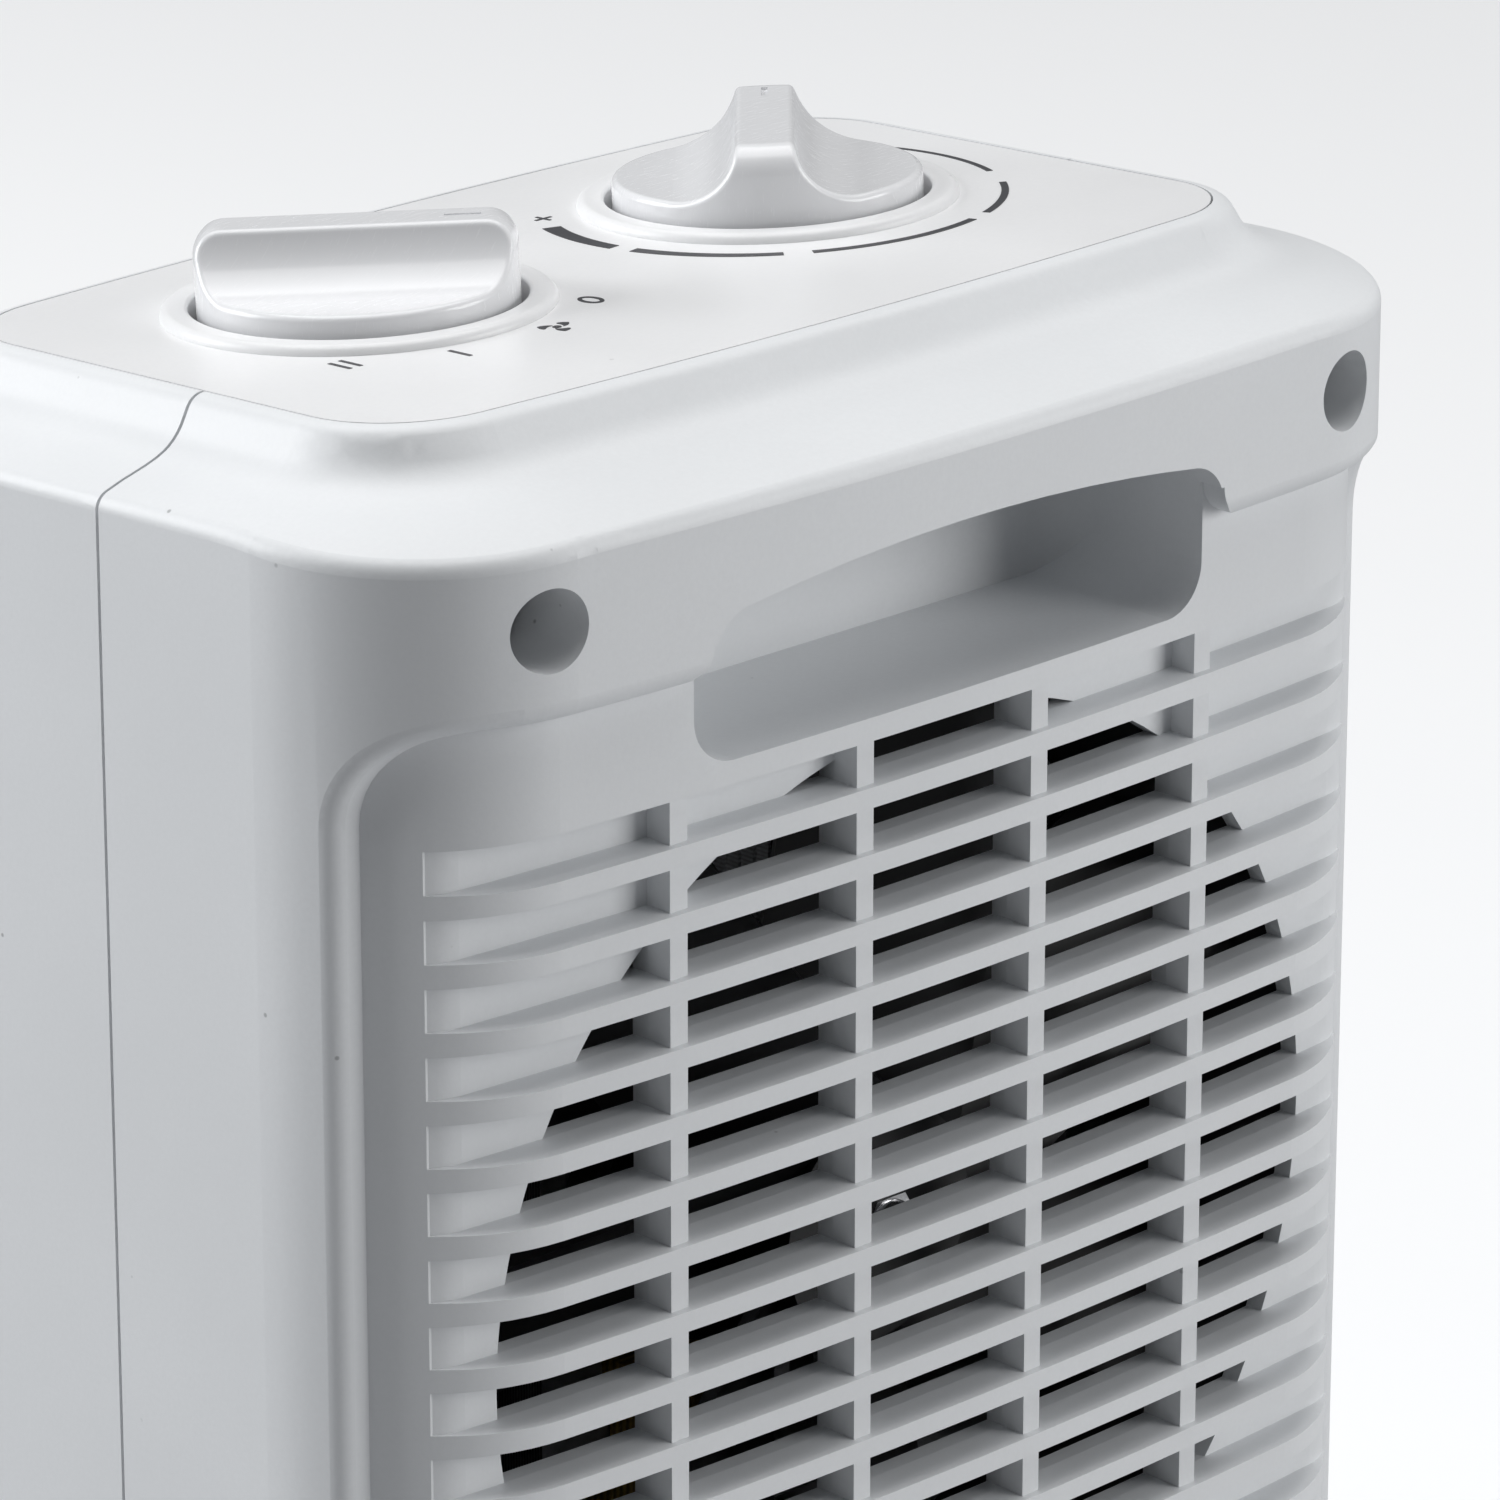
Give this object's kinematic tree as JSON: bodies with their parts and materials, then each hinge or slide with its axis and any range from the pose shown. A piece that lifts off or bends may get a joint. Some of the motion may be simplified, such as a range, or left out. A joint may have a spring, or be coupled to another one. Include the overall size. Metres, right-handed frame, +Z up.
{
  "type": "fan convector heater",
  "caption": "Small upright ceramic fan heater: two-piece case, barred rear intake with hand hold, sloping top with two grip knobs, front outlet, fan, motor and element.",
  "frame": {"origin": "on the floor under the middle of the case", "axes": "+Z up; warm air leaves at -Y; the intake grille is at +Y"},
  "size_m": [0.172, 0.115, 0.2376],
  "materials": {
    "case_white": "fine-grain moulded ABS",
    "panel_white": "smooth satin",
    "knob_white": "gloss",
    "screw_zinc": "black zinc",
    "spindle_nylon": "natural nylon",
    "spindle_steel": "turned",
    "galvanised": "galvanised sheet",
    "switch_black": "moulded",
    "steatite": "unglazed",
    "bimetal": "rolled",
    "grille_grey": "fine-grain",
    "shroud_grey": "moulded",
    "impeller_black": "moulded",
    "nut_chrome": "bright",
    "shaft_steel": "ground",
    "lamination": "laminated",
    "coil_tape": "taped winding",
    "bronze": "sintered",
    "frame_phenolic": "heat-proof moulding",
    "rod_ceramic": "sleeved",
    "fin_aluminium": "folded strip",
    "duct_steel": "aluminised sheet",
    "cutout_phenolic": "moulded",
    "fuse_case": "plated",
    "terminal_nylon": "translucent nylon",
    "tilt_blue": "moulded",
    "bush_black": "moulded",
    "foot_rubber": "matt"
  },
  "bodies": {
    "case": {"rear_shell": "case_white", "front_shell": "case_white", "control_plate": "panel_white", "case_screws": "screw_zinc", "switch_bracket": "galvanised", "rotary_switch": "switch_black", "thermostat_base": "steatite", "bimetal_strip": "bimetal", "outlet_grille": "grille_grey", "fan_shroud": "shroud_grey", "motor_stator": "lamination", "motor_coil": "coil_tape", "motor_rear_bracket": "galvanised", "motor_front_bracket": "galvanised", "rear_bush": "bronze", "front_bush": "bronze", "motor_screws": "screw_zinc", "element_frame": "frame_phenolic", "heating_rods": "rod_ceramic", "fin_packs": "fin_aluminium", "air_duct": "duct_steel", "thermal_cutout": "cutout_phenolic", "thermal_fuse": "fuse_case", "terminal_block": "terminal_nylon", "tilt_switch": "tilt_blue", "cord_bush": "bush_black", "feet": "foot_rubber"},
    "function_control": {"function_knob": "knob_white", "function_spindle": "spindle_nylon"},
    "thermostat_control": {"thermostat_knob": "knob_white", "thermostat_spindle": "spindle_steel"},
    "fan": {"fan_impeller": "impeller_black", "fan_nut": "nut_chrome", "motor_shaft": "shaft_steel", "motor_rotor": "lamination"}
  },
  "joints": [
    {"name": "function_turn", "type": "hinge", "parent": "case", "child": "function_control", "pos_m": [0.0332, -0.013, 0.2262], "axis": [0, -0.0626, 0.998], "range_deg": [-88, 0]},
    {"name": "thermostat_turn", "type": "hinge", "parent": "case", "child": "thermostat_control", "pos_m": [-0.0332, -0.013, 0.2262], "axis": [0, -0.0626, 0.998], "range_deg": [-270, 0]},
    {"name": "fan_spin", "type": "hinge", "parent": "case", "child": "fan", "pos_m": [0, 0.03, 0.1165], "axis": [0, 1, 0], "continuous": true}
  ]
}
